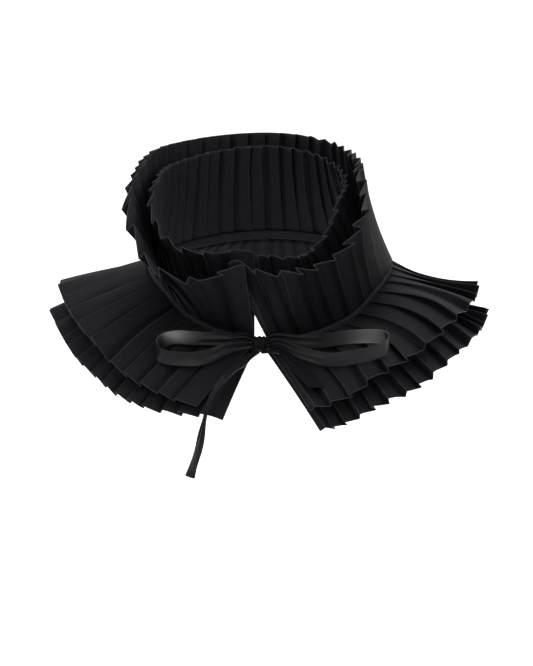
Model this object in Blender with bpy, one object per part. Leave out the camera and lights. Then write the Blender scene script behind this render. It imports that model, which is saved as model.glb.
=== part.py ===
"""A knife-pleated black chiffon collar, tied at the front with a satin ribbon.

Two pleated layers fall over the shoulders and two stand up round the neck. All four are sewn to
one gathered casing, and the ribbon that runs through the casing ties in a bow over its opening.
The collar keeps the open, hollow form that it has when it is worn.

Lengths are in millimetres and turn into metres where a mesh is made. X runs to the right as the
front is looked at, Y to the back and Z up. The origin is the middle of the oval neck seam. Angles
go round the neck in degrees: 0 is the centre back, 90 the right side, 180 the front and -90 the
left side.
"""

import math
from collections import namedtuple

import bmesh
import bpy
import numpy as np

MM = 0.001

# Neck seam: an oval that rises from the front to the back.
NECK_HALF_WIDTH = 75.0
NECK_HALF_DEPTH = 65.0
# The casing's two ends leave a short opening at the front, where the ribbon is tied.
LEFT_END = -172.5
RIGHT_END = 181.5

SeamRow = namedtuple("SeamRow", "angle height")
SEAM = [
    SeamRow(0, 21),
    SeamRow(60, 15.5),
    SeamRow(90, 13),
    SeamRow(105, 9),
    SeamRow(120, 2),
    SeamRow(140, -12),
    SeamRow(160, -20),
    SeamRow(180, -24),
    SeamRow(190, -23),
]

CLOTH = 1.0
GAP = 0.3
CASING_HEIGHT = 6.0
CASING_THICKNESS = 5.0
CASING_STEPS = 118

# Pleats. Every fold turns the same way round the neck, and opens from the seam to the hem.
SEAM_DEPTH = 1.1
OPENING = 1.5
FOLD_REACH = 0.8
FOLD_REACH_PER_DEPTH = 0.055
MITRE_LIMIT = 1.5
FOLD_TIP = CLOTH / 2 * MITRE_LIMIT
FRILL_START = CASING_HEIGHT + 2.5 * GAP
ROWS = 6
# Real pleats are uneven. Each varies by up to these shares, in a rhythm that doesn't repeat.
WIDTH_VARIATION = 0.1
WIDTH_RHYTHM = 2.3
DEPTH_VARIATION = 0.16
DEPTH_RHYTHM = 1.7

CHIFFON_COLOUR = (0.012, 0.012, 0.014)
CHIFFON_ROUGHNESS = 0.75
SATIN_COLOUR = (0.01, 0.01, 0.012)
SATIN_ROUGHNESS = 0.35

# Each layer as it lies round the neck. Lean is from upright, outwards: 0 stands straight up and 90
# lies level. Slant is sideways, towards larger angles. Arch is how far the middle rises over the
# straight line from seam to hem, length is from seam to hem, and depth is that of a pleat at the hem.
Section = namedtuple("Section", "angle lean slant arch length depth")
CAPE_UNDER = [
    Section(-172.5, 114, 9, 1, 71, 3),
    Section(-150, 118, 5, 2, 72, 4),
    Section(-120, 120, -10, 3, 73, 7),
    Section(-90, 115, -19, 2, 68, 8),
    Section(-75, 123, -18, 0, 67, 8),
    Section(-55, 133, -14, -1, 67, 8),
    Section(0, 140, 0, -2, 68, 8),
    Section(55, 135, 10, -4, 67, 8),
    Section(75, 124, 12, -3, 67, 8),
    Section(90, 116, 9, -2, 67, 8),
    Section(120, 112, 5, 3, 69, 7),
    Section(150, 113, -5, 2, 72, 5),
    Section(170, 121, -19, 1, 71, 4),
    Section(181.5, 127, -28, 1, 70, 3),
]
CAPE_UPPER = [
    Section(-172.5, 114, 23, 1.5, 69, 3),
    Section(-150, 114, 10, 2.5, 64, 4),
    Section(-120, 111, -8, 4, 61, 7),
    Section(-90, 107, -18, 2, 57, 8),
    Section(-75, 114, -18, 1, 55, 8),
    Section(-55, 125, -14, 0, 57, 8),
    Section(0, 132, 0, -1, 58, 8),
    Section(55, 127, 10, -3, 57, 8),
    Section(75, 116, 12, -3, 56, 8),
    Section(90, 108, 10, -2, 56, 8),
    Section(120, 103, 5, 4, 57, 7),
    Section(150, 105, -5, 4, 60, 5),
    Section(170, 114, -18, 2, 64, 4),
    Section(181.5, 119, -25, 1, 64, 3),
]
FRILL_OUTER = [
    Section(-172.5, 27, 3, 0, 54, 4),
    Section(-166, 34, 1, 0, 51, 4),
    Section(-157, 52, 0, 1, 56, 5),
    Section(-147, 55, 0, 2, 61, 6),
    Section(-135, 45, 0, 2, 61, 6),
    Section(-120, 28, 0, 2, 61, 6),
    Section(-105, 12, 0, 2, 61, 6),
    Section(-90, 6, 0, 2, 61, 6),
    Section(-60, 3, 0, 2, 64, 6),
    Section(0, 0, 0, 2, 63, 6),
    Section(60, -14, 0, 2, 64, 6),
    Section(90, -18, 8, 2, 61, 6),
    Section(105, -8, 24, 2, 58, 6),
    Section(120, 12, 32, 2, 54, 6),
    Section(140, 27, 32, 2, 51, 5),
    Section(160, 34, 25, 2, 52, 5),
    Section(172, 28, 23, 1, 53, 4),
    Section(181.5, 18, 24, 0, 56, 4),
]
FRILL_INNER = [
    Section(-172.5, 2, 0, 0, 52, 4),
    Section(-166, 8, 0, 0, 52, 4),
    Section(-157, 26, 0, 1, 54, 4),
    Section(-145, 32, 0, 2, 55, 4),
    Section(-125, 19, 0, 2, 55, 4),
    Section(-105, 2, 0, 2, 55, 4),
    Section(-90, -4, 0, 2, 55, 4),
    Section(0, -9, 0, 1, 57, 4),
    Section(60, -23, 0, 1, 57, 4),
    Section(90, -28, 6, 1, 54, 4),
    Section(105, -27, 12, 1, 54, 4),
    Section(120, -18, 26, 1, 51, 4),
    Section(140, -2, 30, 1, 48, 4),
    Section(160, 12, 17, 1, 49, 4),
    Section(181.5, -8, 12, 0, 50, 4),
]

# Where a layer's seam edge lies from the neck seam, outwards and upwards: one cape hangs under the
# casing, the other from its outer face, and the frills stand side by side on its top.
UNDER_OUT = 0.6
UNDER_UP = -GAP - FOLD_TIP - SEAM_DEPTH
UPPER_OUT = CASING_THICKNESS / 2 + GAP
UPPER_UP = 2.0
OUTER_OUT = SEAM_DEPTH + FOLD_TIP + GAP / 2
INNER_OUT = -FOLD_TIP - GAP / 2

# Stands says that the seam edge is upright and not level. Phase sets where the uneven rhythm starts.
Layer = namedtuple("Layer", "name sections pleats out up stands phase")
LAYERS = [
    Layer("cape_under", CAPE_UNDER, 58, UNDER_OUT, UNDER_UP, False, 0.0),
    Layer("cape_upper", CAPE_UPPER, 44, UPPER_OUT, UPPER_UP, False, 2.0),
    Layer("frill_outer", FRILL_OUTER, 42, OUTER_OUT, FRILL_START, True, 3.1),
    Layer("frill_inner", FRILL_INNER, 42, INNER_OUT, FRILL_START, True, 4.6),
]


def clear_scene():
    for item in list(bpy.data.objects):
        bpy.data.objects.remove(item, do_unlink=True)


def smooth(rows, column, at):
    """The value of a column at an angle, on a smooth curve through the table's rows."""
    angles = [row.angle for row in rows]
    values = [getattr(row, column) for row in rows]
    at = min(max(at, angles[0]), angles[-1])
    after = next(k for k in range(1, len(angles)) if at <= angles[k])
    before = after - 1

    def slope(k):
        if k in (0, len(angles) - 1):
            return 0.0
        left = (values[k] - values[k - 1]) / (angles[k] - angles[k - 1])
        right = (values[k + 1] - values[k]) / (angles[k + 1] - angles[k])
        return 2 * left * right / (left + right) if left * right > 0 else 0.0

    span = angles[after] - angles[before]
    t = (at - angles[before]) / span
    ease = t * t * (3 - 2 * t)
    start_pull = t * (1 - t) ** 2 * span * slope(before)
    end_pull = t * t * (t - 1) * span * slope(after)
    return values[before] + (values[after] - values[before]) * ease + start_pull + end_pull


def neck_frame(angle):
    """The neck seam's point at an angle, with the directions straight out of the oval and along it."""
    turn = math.radians(angle)
    point = np.array(
        [
            NECK_HALF_WIDTH * math.sin(turn),
            NECK_HALF_DEPTH * math.cos(turn),
            smooth(SEAM, "height", abs(angle)),
        ]
    )
    outward = np.array([math.sin(turn) / NECK_HALF_WIDTH, math.cos(turn) / NECK_HALF_DEPTH, 0.0])
    outward /= np.linalg.norm(outward)
    onward = np.array([outward[1], -outward[0], 0.0])
    return point, outward, onward


def layer_point(layer, angle, reach):
    """A point of a layer's smooth middle surface: reach runs from 0 at the seam to 1 at the hem."""
    point, outward, onward = neck_frame(angle)
    upward = np.array([0.0, 0.0, 1.0])
    lean = math.radians(smooth(layer.sections, "lean", angle))
    slant = math.radians(smooth(layer.sections, "slant", angle))
    arch = smooth(layer.sections, "arch", angle)
    length = smooth(layer.sections, "length", angle)
    plain = math.sin(lean) * outward + math.cos(lean) * upward
    along = math.cos(slant) * plain + math.sin(slant) * onward
    across = math.sin(lean) * upward - math.cos(lean) * outward
    start = point + layer.out * outward + layer.up * upward
    return start + length * reach * along + arch * 4 * reach * (1 - reach) * across


def layer_frame(layer, angle, reach):
    """The directions onward round the neck and into the folds at a point of a layer.

    The folds of a cape rise from its upper face, and those of a frill from its inner face.
    """
    if reach == 0:
        _, outward, onward = neck_frame(angle)
        return onward, -outward if layer.stands else np.array([0.0, 0.0, 1.0])
    turn, step = 0.5, 0.02
    onward = layer_point(layer, angle + turn, reach) - layer_point(layer, angle - turn, reach)
    along = layer_point(layer, angle, reach + step) - layer_point(layer, angle, reach - step)
    onward /= np.linalg.norm(onward)
    normal = np.cross(onward, along)
    return onward, normal / np.linalg.norm(normal)


def pleat_depth(layer, angle, reach):
    deepest = smooth(layer.sections, "depth", angle)
    return SEAM_DEPTH + (deepest - SEAM_DEPTH) * reach**OPENING


def pleat_folds(layer, reach):
    """The angle and height of each fold of a layer along one row, two folds to a pleat."""
    pitch = (RIGHT_END - LEFT_END) / layer.pleats
    folds = []
    for k in range(layer.pleats + 1):
        inside = 0 < k < layer.pleats
        shift = WIDTH_VARIATION * math.sin(WIDTH_RHYTHM * k + layer.phase) if inside else 0.0
        low = LEFT_END + (k + shift) * pitch
        folds.append((low, 0.0))
        if k < layer.pleats:
            depth = pleat_depth(layer, low + pitch / 2, reach)
            depth *= 1 + DEPTH_VARIATION * math.sin(DEPTH_RHYTHM * k + 2 * layer.phase) * reach
            last = k == layer.pleats - 1
            onward = FOLD_REACH + (0.0 if last else FOLD_REACH_PER_DEPTH * depth)
            folds.append((low + onward * pitch, depth))
    return folds


def mitre(before, after):
    """The offset of a bent wall's corner from its middle line, for a wall of thickness 1."""
    total = before + after
    size = np.linalg.norm(total)
    if size < 1e-6:
        return before / 2
    reach = min(1.0 / (size / 2), 2 * MITRE_LIMIT) / 2
    return total / size * reach


def wall_rows(points, onwards, normals, thickness):
    """Both faces of a wall along one row of middle points."""
    flat = []
    for a, b, onward, normal in zip(points, points[1:], onwards, normals):
        step = b - a
        across = normal * np.dot(step, onward) - onward * np.dot(step, normal)
        flat.append(across / np.linalg.norm(across))
    outer, inner = [], []
    for k, point in enumerate(points):
        before = flat[max(k - 1, 0)]
        after = flat[min(k, len(flat) - 1)]
        offset = mitre(before, after) * thickness
        outer.append(point + offset)
        inner.append(point - offset)
    return outer, inner


def pleated_rows(layer):
    rows = []
    for row in range(ROWS + 1):
        reach = row / ROWS
        points, onwards, normals = [], [], []
        for angle, height in pleat_folds(layer, reach):
            onward, normal = layer_frame(layer, angle, reach)
            points.append(layer_point(layer, angle, reach) + height * normal)
            onwards.append(onward)
            normals.append(normal)
        rows.append(wall_rows(points, onwards, normals, CLOTH))
    return rows


def closed_wall(rows):
    """Vertices and faces of the closed wall between the outer and inner points of every row."""
    width = len(rows[0][0])
    vertices = []
    for outer, inner in rows:
        vertices.extend(outer)
        vertices.extend(inner)

    def at(row, side, k):
        return (2 * row + side) * width + k

    faces = []
    last = len(rows) - 1
    for row in range(last):
        for k in range(width - 1):
            for side in (0, 1):
                corners = [at(row, side, k), at(row, side, k + 1)]
                corners += [at(row + 1, side, k + 1), at(row + 1, side, k)]
                faces.append(corners if side == 0 else corners[::-1])
        for k in (0, width - 1):
            corners = [at(row, 0, k), at(row + 1, 0, k), at(row + 1, 1, k), at(row, 1, k)]
            faces.append(corners if k == 0 else corners[::-1])
    for row in (0, last):
        for k in range(width - 1):
            corners = [at(row, 0, k + 1), at(row, 0, k), at(row, 1, k), at(row, 1, k + 1)]
            faces.append(corners if row == 0 else corners[::-1])
    return vertices, faces


def make_material(name, colour, roughness):
    material = bpy.data.materials.new(name)
    material.use_nodes = True
    shader = material.node_tree.nodes["Principled BSDF"]
    shader.inputs["Base Color"].default_value = (*colour, 1.0)
    shader.inputs["Roughness"].default_value = roughness
    shader.inputs["Metallic"].default_value = 0.0
    return material


def add_piece(name, vertices, faces, material):
    """Adds one closed solid, from points in millimetres, with its faces turned outwards."""
    mesh = bpy.data.meshes.new(name)
    mesh.from_pydata([tuple(float(c) * MM for c in v) for v in vertices], [], faces)
    solid = bmesh.new()
    solid.from_mesh(mesh)
    bmesh.ops.recalc_face_normals(solid, faces=solid.faces)
    solid.to_mesh(mesh)
    solid.free()
    mesh.materials.append(material)
    piece = bpy.data.objects.new(name, mesh)
    bpy.context.scene.collection.objects.link(piece)
    return piece


def build_layers():
    for layer in LAYERS:
        material = make_material(layer.name, CHIFFON_COLOUR, CHIFFON_ROUGHNESS)
        vertices, faces = closed_wall(pleated_rows(layer))
        add_piece(layer.name, vertices, faces, material)


# The casing's section, outside and inside the neck seam: a low band with a rounded outer face.
SectionPoint = namedtuple("SectionPoint", "out up")
CASING_SECTION = [
    SectionPoint(-0.5, 0.0),
    SectionPoint(0.38, 0.0),
    SectionPoint(0.5, 0.3),
    SectionPoint(0.5, 0.7),
    SectionPoint(0.38, 1.0),
    SectionPoint(-0.5, 1.0),
]


def build_casing():
    """The gathered band that every layer is sewn to, closed at its two ends."""
    vertices = []
    for step in range(CASING_STEPS + 1):
        angle = LEFT_END + (RIGHT_END - LEFT_END) * step / CASING_STEPS
        point, outward, _ = neck_frame(angle)
        for corner in CASING_SECTION:
            vertex = point + corner.out * CASING_THICKNESS * outward
            vertices.append(vertex + np.array([0.0, 0.0, corner.up * CASING_HEIGHT]))
    sides = len(CASING_SECTION)
    faces = []
    for step in range(CASING_STEPS):
        for k in range(sides):
            following = (k + 1) % sides
            here = step * sides
            there = here + sides
            faces.append([here + k, here + following, there + following, there + k])
    faces.append(list(range(sides))[::-1])
    faces.append([CASING_STEPS * sides + k for k in range(sides)])
    material = make_material("neck_casing", CHIFFON_COLOUR, CHIFFON_ROUGHNESS)
    add_piece("neck_casing", vertices, faces, material)


# Ribbon: how wide and thick it is, and the knot over the casing's opening.
RIBBON_WIDTH = 8.5
RIBBON_THICKNESS = 1.0
RIBBON_COLUMNS = 2
ROWS_PER_POINT = 3
KNOT_CENTRE = np.array([-6.3, -70.6, -20.4])
KNOT_HALF_SIZE = np.array([5.2, 4.0, 4.9])
KNOT_RINGS = 8
KNOT_SIDES = 14

# The route of a ribbon's middle line. A row on a layer gives its angle and reach there and the lift
# over its folds, a row from the knot is measured from the knot's centre. Share is the part of the
# full width that is left where the ribbon is pinched, and roll turns it about its length.
OnLayer = namedtuple("OnLayer", "layer angle reach lift share roll")
FromKnot = namedtuple("FromKnot", "x y z share roll")
LEFT_LOOP = [
    FromKnot(-4.8, -0.6, 2.8, 0.4, 0),
    FromKnot(-10, -2.4, 4.8, 0.6, 0),
    OnLayer("cape_upper", -164, 0.17, 5.4, 0.9, 0),
    OnLayer("cape_upper", -154, 0.29, 5.4, 1, 0),
    OnLayer("cape_upper", -147, 0.40, 5.4, 1, 0),
    OnLayer("cape_upper", -144, 0.52, 5.4, 1, 0),
    OnLayer("cape_upper", -145, 0.63, 5.4, 1, 0),
    OnLayer("cape_upper", -149, 0.69, 5.4, 1, 0),
    OnLayer("cape_upper", -156, 0.63, 5.4, 1, 0),
    OnLayer("cape_upper", -164, 0.51, 5.6, 1, 0),
    FromKnot(-18, -14.4, 1.0, 0.85, 0),
    FromKnot(-4.9, -3.2, 0.3, 0.5, 0),
]
RIGHT_LOOP = [
    FromKnot(4.8, -0.6, 2.8, 0.4, 0),
    FromKnot(10, -2.4, 4.8, 0.6, 0),
    OnLayer("cape_upper", 169, 0.17, 5.4, 0.9, 0),
    OnLayer("cape_upper", 162, 0.30, 5.4, 1, 0),
    OnLayer("cape_upper", 154, 0.46, 5.4, 1, 0),
    OnLayer("cape_upper", 148, 0.62, 5.4, 1, 0),
    OnLayer("cape_upper", 145, 0.74, 5.4, 1, 0),
    OnLayer("cape_upper", 146, 0.84, 5.4, 1, 0),
    OnLayer("cape_upper", 150, 0.86, 5.4, 1, 0),
    OnLayer("cape_upper", 157, 0.76, 5.4, 1, 0),
    OnLayer("cape_upper", 165, 0.60, 6.2, 1, 0),
    OnLayer("cape_upper", 172, 0.40, 8.6, 0.85, 0),
    FromKnot(12.5, -11, 3.0, 0.6, 0),
    FromKnot(4.9, -3.0, -0.4, 0.5, 0),
]
LEFT_TAIL = [
    FromKnot(-1.2, -3.8, -4.4, 0.4, 0),
    FromKnot(-7.5, -13, -6.4, 0.75, 0),
    FromKnot(-12.5, -23, -7.7, 1, 0),
    FromKnot(-17.5, -34, -9.5, 1, 14),
    FromKnot(-22.5, -45, -13.4, 1, 34),
    FromKnot(-27.2, -55, -18.4, 0.95, 54),
    FromKnot(-30.5, -63, -25.3, 0.95, 66),
    FromKnot(-32.2, -66.5, -32.2, 0.95, 70),
    FromKnot(-33.4, -66, -39.3, 0.95, 68),
    FromKnot(-35.8, -62, -49.6, 1, 66),
    FromKnot(-38.9, -58, -60.8, 1, 64),
    FromKnot(-42, -54, -71, 1, 60),
]
RIGHT_TAIL = [
    FromKnot(1.4, -4.2, -4.0, 0.3, 0),
    OnLayer("cape_upper", 180, 0.24, 3.6, 0.55, 0),
    OnLayer("cape_upper", 178, 0.42, 2.6, 0.9, 0),
    OnLayer("cape_upper", 176, 0.62, 2.6, 1, 0),
    OnLayer("cape_upper", 174.5, 0.84, 2.6, 1, 0),
]
# Which way a ribbon's width lies before it is rolled: nearly upright in a loop, sideways in a tail.
DOWNWARDS = np.array([0.0, -0.1, -1.0])
SIDEWAYS = np.array([1.0, 0.0, 0.0])
Ribbon = namedtuple("Ribbon", "name route widthways")
RIBBONS = [
    Ribbon("ribbon_loop_left", LEFT_LOOP, DOWNWARDS),
    Ribbon("ribbon_loop_right", RIGHT_LOOP, DOWNWARDS),
    Ribbon("ribbon_tail_left", LEFT_TAIL, SIDEWAYS),
    Ribbon("ribbon_tail_right", RIGHT_TAIL, SIDEWAYS),
]


def route_values(row):
    """A route row's place, share of the width and roll."""
    if isinstance(row, FromKnot):
        place = KNOT_CENTRE + np.array([row.x, row.y, row.z])
        return np.array([*place, row.share, row.roll])
    layer = next(layer for layer in LAYERS if layer.name == row.layer)
    _, normal = layer_frame(layer, row.angle, row.reach)
    folds = pleat_depth(layer, row.angle, row.reach) * (1 + DEPTH_VARIATION) + CLOTH / 2
    place = layer_point(layer, row.angle, row.reach) + (folds + row.lift) * normal
    return np.array([*place, row.share, row.roll])


def route_curve(route):
    """Values along a smooth curve through every row of a route."""
    known = [route_values(row) for row in route]
    known = [2 * known[0] - known[1], *known, 2 * known[-1] - known[-2]]
    curve = []
    for k in range(1, len(known) - 2):
        before, start, end, after = known[k - 1 : k + 3]
        for step in range(ROWS_PER_POINT):
            t = step / ROWS_PER_POINT
            straight = 2 * start + (end - before) * t
            bend = (2 * before - 5 * start + 4 * end - after) * t * t
            sway = (3 * start - before - 3 * end + after) * t**3
            curve.append((straight + bend + sway) / 2)
    curve.append(known[-2])
    return curve


def ribbon_rows(ribbon):
    """Both faces of a ribbon, in rows along its length."""
    curve = route_curve(ribbon.route)
    rows = []
    for k, values in enumerate(curve):
        middle = values[:3]
        tangent = curve[min(k + 1, len(curve) - 1)][:3] - curve[max(k - 1, 0)][:3]
        tangent /= np.linalg.norm(tangent)
        across = ribbon.widthways - np.dot(ribbon.widthways, tangent) * tangent
        across /= np.linalg.norm(across)
        roll = math.radians(values[4])
        across = math.cos(roll) * across + math.sin(roll) * np.cross(tangent, across)
        thick = np.cross(tangent, across) * RIBBON_THICKNESS / 2
        outer, inner = [], []
        for column in range(RIBBON_COLUMNS + 1):
            side = (column / RIBBON_COLUMNS - 0.5) * RIBBON_WIDTH * values[3]
            outer.append(middle + side * across + thick)
            inner.append(middle + side * across - thick)
        rows.append((outer, inner))
    return rows


def build_ribbons():
    for ribbon in RIBBONS:
        vertices, faces = closed_wall(ribbon_rows(ribbon))
        add_piece(ribbon.name, vertices, faces, make_material(ribbon.name, SATIN_COLOUR, SATIN_ROUGHNESS))


def build_knot():
    """The bow's knot, a soft round lump of ribbon."""
    knot = bmesh.new()
    bmesh.ops.create_uvsphere(knot, u_segments=KNOT_SIDES, v_segments=KNOT_RINGS, radius=1.0)
    vertices = [KNOT_CENTRE + np.array(v.co) * KNOT_HALF_SIZE for v in knot.verts]
    faces = [[v.index for v in face.verts] for face in knot.faces]
    knot.free()
    material = make_material("ribbon_knot", SATIN_COLOUR, SATIN_ROUGHNESS)
    add_piece("ribbon_knot", vertices, faces, material)


def main():
    clear_scene()
    build_layers()
    build_casing()
    build_ribbons()
    build_knot()


main()
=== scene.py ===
"""The looks of a knife-pleated black chiffon collar with a satin ribbon bow.

Every pleated layer is a thin shell on the form of its solid, with pressed folds, soft creases and a
rolled hem. The casing is gathered and stitched, and the ribbon is a satin band, folded where the knot
pinches it. Shapes are worked out in millimetres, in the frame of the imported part: X to the right as
the front is looked at, Y to the back and Z up, with the origin in the middle of the oval neck seam.
Angles go round the neck in degrees: 0 is the centre back, 90 the right side and 180 the front.
"""

import math
from collections import namedtuple

import bpy
import numpy as np
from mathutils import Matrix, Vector


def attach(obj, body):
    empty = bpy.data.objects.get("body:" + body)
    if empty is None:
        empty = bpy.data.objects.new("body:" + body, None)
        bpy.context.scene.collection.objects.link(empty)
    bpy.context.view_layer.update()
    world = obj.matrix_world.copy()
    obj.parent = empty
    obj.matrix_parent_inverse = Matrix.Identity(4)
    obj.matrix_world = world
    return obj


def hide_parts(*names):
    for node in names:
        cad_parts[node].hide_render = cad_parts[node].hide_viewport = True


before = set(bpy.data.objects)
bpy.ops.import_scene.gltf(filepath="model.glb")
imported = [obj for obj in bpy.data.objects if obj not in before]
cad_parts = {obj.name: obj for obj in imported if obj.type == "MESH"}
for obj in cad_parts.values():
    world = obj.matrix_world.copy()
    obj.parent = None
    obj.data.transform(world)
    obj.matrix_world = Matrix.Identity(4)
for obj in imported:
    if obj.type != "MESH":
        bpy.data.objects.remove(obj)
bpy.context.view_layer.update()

MM = 0.001

# Camera: the photograph's frame, its distance and its height over the collar.
FRAME_HEIGHT_PX = 666
AIM_POINT = Vector((-0.0022, 0.0, -0.0286))
CAMERA_DISTANCE = 1.6
CAMERA_ELEVATION = math.radians(12)
SCALE_PX_PER_M = 1570
SENSOR_MM = 36.0

# Neck seam and the construction's sizes, as in the part.
NECK_HALF_WIDTH = 75.0
NECK_HALF_DEPTH = 65.0
LEFT_END = -172.5
RIGHT_END = 181.5
SeamRow = namedtuple("SeamRow", "angle height")
SEAM = [
    SeamRow(0, 21),
    SeamRow(60, 15.5),
    SeamRow(90, 13),
    SeamRow(105, 9),
    SeamRow(120, 2),
    SeamRow(140, -12),
    SeamRow(160, -20),
    SeamRow(180, -24),
    SeamRow(190, -23),
]
GAP = 0.3
CASING_HEIGHT = 6.0
CASING_THICKNESS = 5.0
SEAM_DEPTH = 1.1
OPENING = 1.5
FOLD_TIP = 0.75
FRILL_START = CASING_HEIGHT + 2.5 * GAP
WIDTH_VARIATION = 0.1
WIDTH_RHYTHM = 2.3
DEPTH_VARIATION = 0.16
DEPTH_RHYTHM = 1.7

# How a pleat's top panel passes over the start of the next one, as a share of the pitch.
TOP_PANEL_AT_SEAM = 1.3
TOP_PANEL_AT_HEM = 0.82
TOP_PANEL_PER_DEPTH = 0.055
TOP_PANEL_SETTLED = 0.8
END_PANEL = 0.8

# Each layer as it lies round the neck: lean from upright, slant sideways, arch over the straight line
# from seam to hem, length, and depth of a pleat at the hem.
Section = namedtuple("Section", "angle lean slant arch length depth")
CAPE_UNDER = [
    Section(-172.5, 114, 9, 1, 71, 3),
    Section(-150, 118, 5, 2, 72, 4),
    Section(-120, 120, -10, 3, 73, 7),
    Section(-90, 115, -19, 2, 68, 8),
    Section(-75, 123, -18, 0, 67, 8),
    Section(-55, 133, -14, -1, 67, 8),
    Section(0, 140, 0, -2, 68, 8),
    Section(55, 135, 10, -4, 67, 8),
    Section(75, 124, 12, -3, 67, 8),
    Section(90, 116, 9, -2, 67, 8),
    Section(120, 112, 5, 3, 69, 7),
    Section(150, 113, -5, 2, 72, 5),
    Section(170, 121, -19, 1, 71, 4),
    Section(181.5, 127, -28, 1, 70, 3),
]
CAPE_UPPER = [
    Section(-172.5, 114, 23, 1.5, 69, 3),
    Section(-150, 114, 10, 2.5, 64, 4),
    Section(-120, 111, -8, 4, 61, 7),
    Section(-90, 107, -18, 2, 57, 8),
    Section(-75, 114, -18, 1, 55, 8),
    Section(-55, 125, -14, 0, 57, 8),
    Section(0, 132, 0, -1, 58, 8),
    Section(55, 127, 10, -3, 57, 8),
    Section(75, 116, 12, -3, 56, 8),
    Section(90, 108, 10, -2, 56, 8),
    Section(120, 103, 5, 4, 57, 7),
    Section(150, 105, -5, 4, 60, 5),
    Section(170, 114, -18, 2, 64, 4),
    Section(181.5, 119, -25, 1, 64, 3),
]
FRILL_OUTER = [
    Section(-172.5, 27, 3, 0, 54, 4),
    Section(-166, 34, 1, 0, 51, 4),
    Section(-157, 52, 0, 1, 56, 5),
    Section(-147, 55, 0, 2, 61, 6),
    Section(-135, 45, 0, 2, 61, 6),
    Section(-120, 28, 0, 2, 61, 6),
    Section(-105, 12, 0, 2, 61, 6),
    Section(-90, 6, 0, 2, 61, 6),
    Section(-60, 3, 0, 2, 64, 6),
    Section(0, 0, 0, 2, 63, 6),
    Section(60, -14, 0, 2, 64, 6),
    Section(90, -18, 8, 2, 61, 6),
    Section(105, -8, 24, 2, 58, 6),
    Section(120, 12, 32, 2, 54, 6),
    Section(140, 27, 32, 2, 51, 5),
    Section(160, 34, 25, 2, 52, 5),
    Section(172, 28, 23, 1, 53, 4),
    Section(181.5, 18, 24, 0, 56, 4),
]
FRILL_INNER = [
    Section(-172.5, 2, 0, 0, 52, 4),
    Section(-166, 8, 0, 0, 52, 4),
    Section(-157, 26, 0, 1, 54, 4),
    Section(-145, 32, 0, 2, 55, 4),
    Section(-125, 19, 0, 2, 55, 4),
    Section(-105, 2, 0, 2, 55, 4),
    Section(-90, -4, 0, 2, 55, 4),
    Section(0, -9, 0, 1, 57, 4),
    Section(60, -23, 0, 1, 57, 4),
    Section(90, -28, 6, 1, 54, 4),
    Section(105, -27, 12, 1, 54, 4),
    Section(120, -18, 26, 1, 51, 4),
    Section(140, -2, 30, 1, 48, 4),
    Section(160, 12, 17, 1, 49, 4),
    Section(181.5, -8, 12, 0, 50, 4),
]
UNDER_OUT = 0.6
UNDER_UP = -GAP - FOLD_TIP - SEAM_DEPTH
UPPER_OUT = CASING_THICKNESS / 2 + GAP
UPPER_UP = 2.0
OUTER_OUT = SEAM_DEPTH + FOLD_TIP + GAP / 2
INNER_OUT = -FOLD_TIP - GAP / 2
Layer = namedtuple("Layer", "name node sections pleats out up stands phase")
LAYERS = [
    Layer("lower_cape", "cape_under", CAPE_UNDER, 58, UNDER_OUT, UNDER_UP, False, 0.0),
    Layer("upper_cape", "cape_upper", CAPE_UPPER, 44, UPPER_OUT, UPPER_UP, False, 2.0),
    Layer("outer_frill", "frill_outer", FRILL_OUTER, 42, OUTER_OUT, FRILL_START, True, 3.1),
    Layer("inner_frill", "frill_inner", FRILL_INNER, 42, INNER_OUT, FRILL_START, True, 4.6),
]

# Cloth: its own thickness, the rolled hem, how round the pressed folds are, and how finely it is made.
CHIFFON_THICKNESS = 0.3
HEM_RADIUS = 0.3
HEM_SIDES = 8
CREST_RADIUS_SEAM = 0.5
CREST_RADIUS_HEM = 0.9
VALLEY_RADIUS = 0.9
# The most of a panel that a rounded corner takes.
CORNER_SHARE = 0.3
CLOTH_ROWS = 30
# How far the cloth goes on past its seam edge into the casing, as a share of its length.
SEAM_TUCK = 0.025
CORNER_STEPS = 3
TOP_STEPS = 8
UNDERLAY_STEPS = 2
PANEL_BOW = 0.35
# The folds sway a little between seam and hem, by a share of the pitch, and the hem ripples.
SWAY = 0.05
SWAY_RHYTHM = 0.9
SWAY_PHASE = 3.0
RIPPLE = 0.35
RIPPLE_RHYTHM = 2.9
RIPPLE_RISE = 4
# Each panel is painted darkest where it comes out from under the fold before it, as painted shade, and
# the pressed folds get a painted highlight, palest on the right front.
SHADE_END = 0.42
SHADE_WIDTH = 0.2
HIGHLIGHT_LEAST = 0.3
HIGHLIGHT_FROM = 60.0
HIGHLIGHT_OVER = 60.0

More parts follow.
